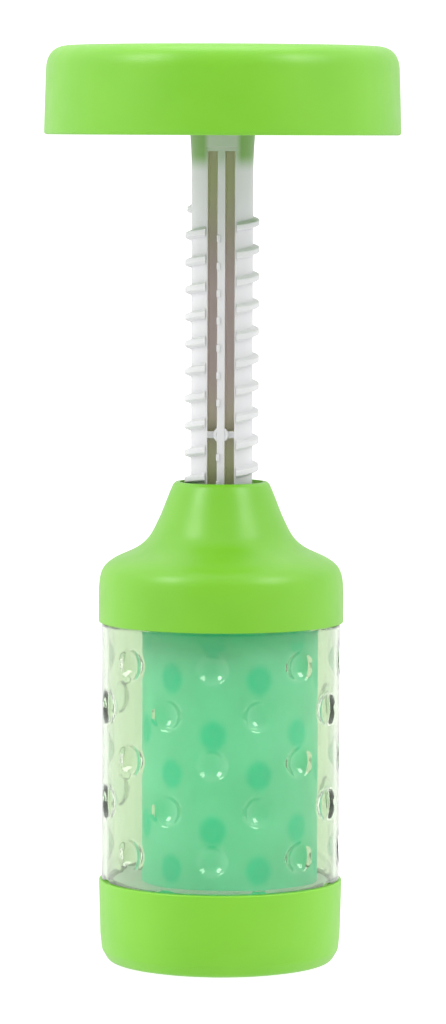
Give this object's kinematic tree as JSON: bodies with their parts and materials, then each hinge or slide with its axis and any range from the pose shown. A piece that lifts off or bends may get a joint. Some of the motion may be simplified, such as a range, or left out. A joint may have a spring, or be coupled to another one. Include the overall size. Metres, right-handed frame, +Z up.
{
  "type": "foot massage roller",
  "caption": "Upright massage roller: a clear dimpled barrel around a green core tube, capped top and bottom, with a round handle on a coarse feed screw that drives a press foot.",
  "frame": {"origin": "centre of the base cap's resting face", "axes": "+Z up along the barrel and the feed screw, -Y towards the front, +X to the right of the front"},
  "size_m": [0.1114, 0.1114, 0.2875],
  "materials": {
    "lime_plastic": "satin-gloss moulded polypropylene",
    "white_plastic": "milky white moulded plastic",
    "clear_plastic": "clear moulded polymer",
    "green_core": "translucent green polymer",
    "nylon": "matte moulded",
    "rubber_seal": "soft silicone",
    "steel": "plain steel"
  },
  "bodies": {
    "housing": {"barrel": "clear_plastic", "base_cap": "lime_plastic", "base_gasket": "rubber_seal", "collar": "lime_plastic", "collar_gasket": "rubber_seal", "core_locator": "white_plastic", "lower_locator": "white_plastic", "core_seat": "nylon", "core_tube": "green_core", "drive_nut": "nylon", "nut_screws": "steel"},
    "press": {"press_foot": "nylon", "swivel_bush": "nylon", "thrust_washer": "nylon", "wiper_ring": "rubber_seal"},
    "screw": {"threaded_rod": "white_plastic", "end_screw": "steel", "end_washer": "steel", "handle_shell": "lime_plastic", "handle_screw": "steel", "handle_plug": "lime_plastic", "handle_washer": "steel", "drive_pin": "steel"}
  },
  "joints": [
    {"name": "press_feed", "type": "slide", "parent": "housing", "child": "press", "axis": [0, 0, 1], "range_m": [-0.0851, 0]},
    {"name": "handle_turn", "type": "hinge", "parent": "press", "child": "screw", "pos_m": [0, 0, 0.1125], "axis": [0, 0, 1], "range_deg": [-3600, 0]}
  ],
  "couplings": [
    {"joint": "press_feed", "follows": "handle_turn", "m_per_rad": 0.0013528}
  ]
}
